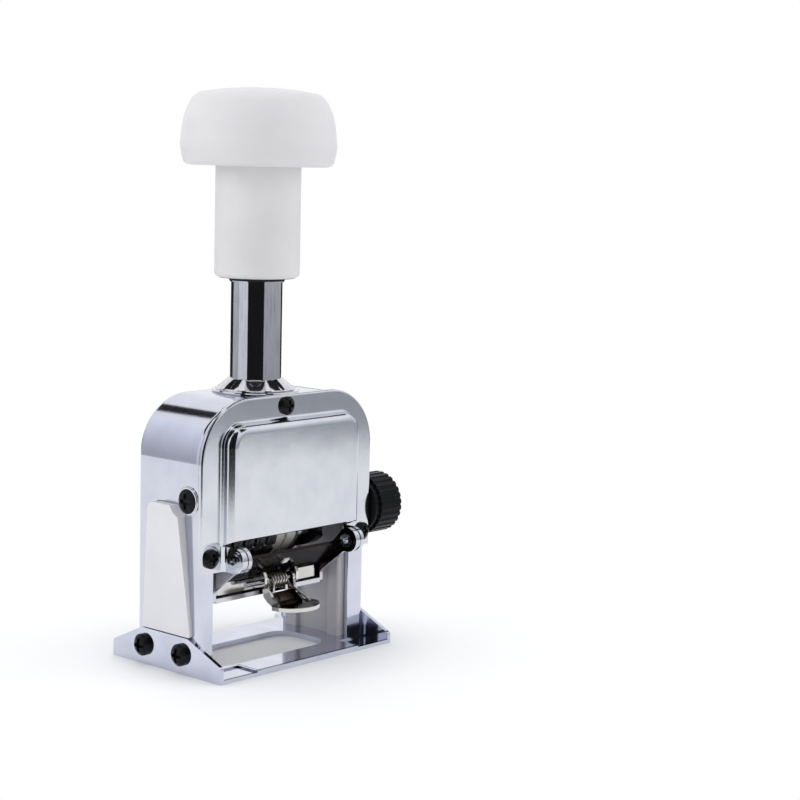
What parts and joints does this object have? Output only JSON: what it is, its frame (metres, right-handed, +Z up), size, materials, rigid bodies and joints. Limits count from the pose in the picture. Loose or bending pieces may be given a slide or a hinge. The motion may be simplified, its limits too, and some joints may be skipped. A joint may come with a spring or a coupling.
{
  "type": "automatic numbering machine",
  "caption": "Desk numbering stamp: mushroom knob on a sprung plunger, sheet housing, number wheels, swinging ink pad, latch and repeat selector.",
  "frame": {"origin": "middle of the base's underside", "axes": "+X to the right, +Y to the back, +Z up"},
  "size_m": [0.069, 0.0392, 0.137],
  "materials": {
    "plate_steel": "bright nickel plate",
    "tube_chrome": "polished chrome",
    "light_plastic": "satin",
    "knob_plastic": "satin",
    "black_screw": "black oxide",
    "turned_steel": "satin",
    "brass": "turned",
    "spring_steel": "drawn wire",
    "rubber": "matte",
    "carriage_steel": "satin",
    "wheel_steel": "pale drums with blackened type",
    "dark_steel": "blued",
    "carrier_steel": "blackened sheet",
    "tray_nickel": "nickel plate",
    "pad_felt": "inked felt",
    "black_plastic": "semi-gloss"
  },
  "bodies": {
    "body": {"base_plate": "plate_steel", "housing": "plate_steel", "front_cover": "plate_steel", "rear_cover": "plate_steel", "guide_insert_left": "light_plastic", "guide_insert_right": "light_plastic", "base_screws": "black_screw", "front_cover_screws": "black_screw", "rear_cover_screws": "black_screw", "wall_screw": "black_screw", "wall_screw_cup": "tube_chrome", "barrel": "tube_chrome", "barrel_flange": "tube_chrome", "barrel_nut": "tube_chrome", "pivot_eyelets": "tube_chrome", "pivot_washers": "black_screw", "pivot_bushes": "turned_steel", "selector_bush": "tube_chrome"},
    "plunger": {"knob_cap": "knob_plastic", "knob_insert": "brass", "handle_sleeve": "knob_plastic", "plunger_rod": "turned_steel", "return_spring": "spring_steel", "rod_nuts": "turned_steel", "buffer_washer": "rubber", "carriage_frame": "carriage_steel", "tie_rod": "turned_steel", "wheel_shaft": "turned_steel", "spacer_disc": "wheel_steel", "click_springs": "spring_steel"},
    "repeat_drum": {"repeat_ratchet": "dark_steel", "repeat_cams": "dark_steel"},
    "feed_pawl": {"pawl_frame": "carriage_steel", "pawl_comb": "carriage_steel"},
    "ink_carrier": {"carrier_frame": "carrier_steel", "ink_tray": "tray_nickel", "ink_pad": "pad_felt", "latch_pin": "turned_steel", "latch_spring": "spring_steel"},
    "latch": {"latch_lever": "tray_nickel"},
    "selector": {"selector_knob": "black_plastic", "selector_shaft": "turned_steel"},
    "wheel_1": {"number_wheel_1": "wheel_steel"},
    "wheel_2": {"number_wheel_2": "wheel_steel"},
    "wheel_3": {"number_wheel_3": "wheel_steel"},
    "wheel_4": {"number_wheel_4": "wheel_steel"},
    "wheel_5": {"number_wheel_5": "wheel_steel"},
    "wheel_6": {"number_wheel_6": "wheel_steel"}
  },
  "joints": [
    {"name": "plunger_slide", "type": "slide", "parent": "body", "child": "plunger", "axis": [0, 0, -1], "range_m": [0, 0.0227], "stiffness_N_per_m": 600, "springref_m": -0.012, "deforming": ["return_spring"]},
    {"name": "ink_swing", "type": "hinge", "parent": "body", "child": "ink_carrier", "pos_m": [0, -0.0152, 0.0274], "axis": [-1, 0, 0], "range_deg": [0, 100]},
    {"name": "pawl_swing", "type": "hinge", "parent": "plunger", "child": "feed_pawl", "pos_m": [0, -0.001, 0.033], "axis": [-1, 0, 0], "range_deg": [0, 36]},
    {"name": "wheel_1_turn", "type": "hinge", "parent": "plunger", "child": "wheel_1", "pos_m": [0, -0.001, 0.033], "axis": [1, 0, 0], "continuous": true},
    {"name": "wheel_2_turn", "type": "hinge", "parent": "plunger", "child": "wheel_2", "pos_m": [0, -0.001, 0.033], "axis": [1, 0, 0], "continuous": true},
    {"name": "wheel_3_turn", "type": "hinge", "parent": "plunger", "child": "wheel_3", "pos_m": [0, -0.001, 0.033], "axis": [1, 0, 0], "continuous": true},
    {"name": "wheel_4_turn", "type": "hinge", "parent": "plunger", "child": "wheel_4", "pos_m": [0, -0.001, 0.033], "axis": [1, 0, 0], "continuous": true},
    {"name": "wheel_5_turn", "type": "hinge", "parent": "plunger", "child": "wheel_5", "pos_m": [0, -0.001, 0.033], "axis": [1, 0, 0], "continuous": true},
    {"name": "wheel_6_turn", "type": "hinge", "parent": "plunger", "child": "wheel_6", "pos_m": [0, -0.001, 0.033], "axis": [1, 0, 0], "continuous": true},
    {"name": "repeat_turn", "type": "hinge", "parent": "plunger", "child": "repeat_drum", "pos_m": [0, -0.001, 0.033], "axis": [1, 0, 0], "continuous": true},
    {"name": "latch_press", "type": "hinge", "parent": "ink_carrier", "child": "latch", "pos_m": [0, -0.0079, 0.0189], "axis": [1, 0, 0], "range_deg": [0, 20], "stiffness_Nm_per_rad": 0.02, "springref_deg": -17.19},
    {"name": "selector_turn", "type": "hinge", "parent": "body", "child": "selector", "pos_m": [0.0337, -0.0064, 0.0336], "axis": [1, 0, 0], "continuous": true}
  ],
  "couplings": [
    {"joint": "ink_swing", "follows": "plunger_slide", "rad_per_m": 76.8},
    {"joint": "pawl_swing", "follows": "plunger_slide", "rad_per_m": 27.6}
  ]
}
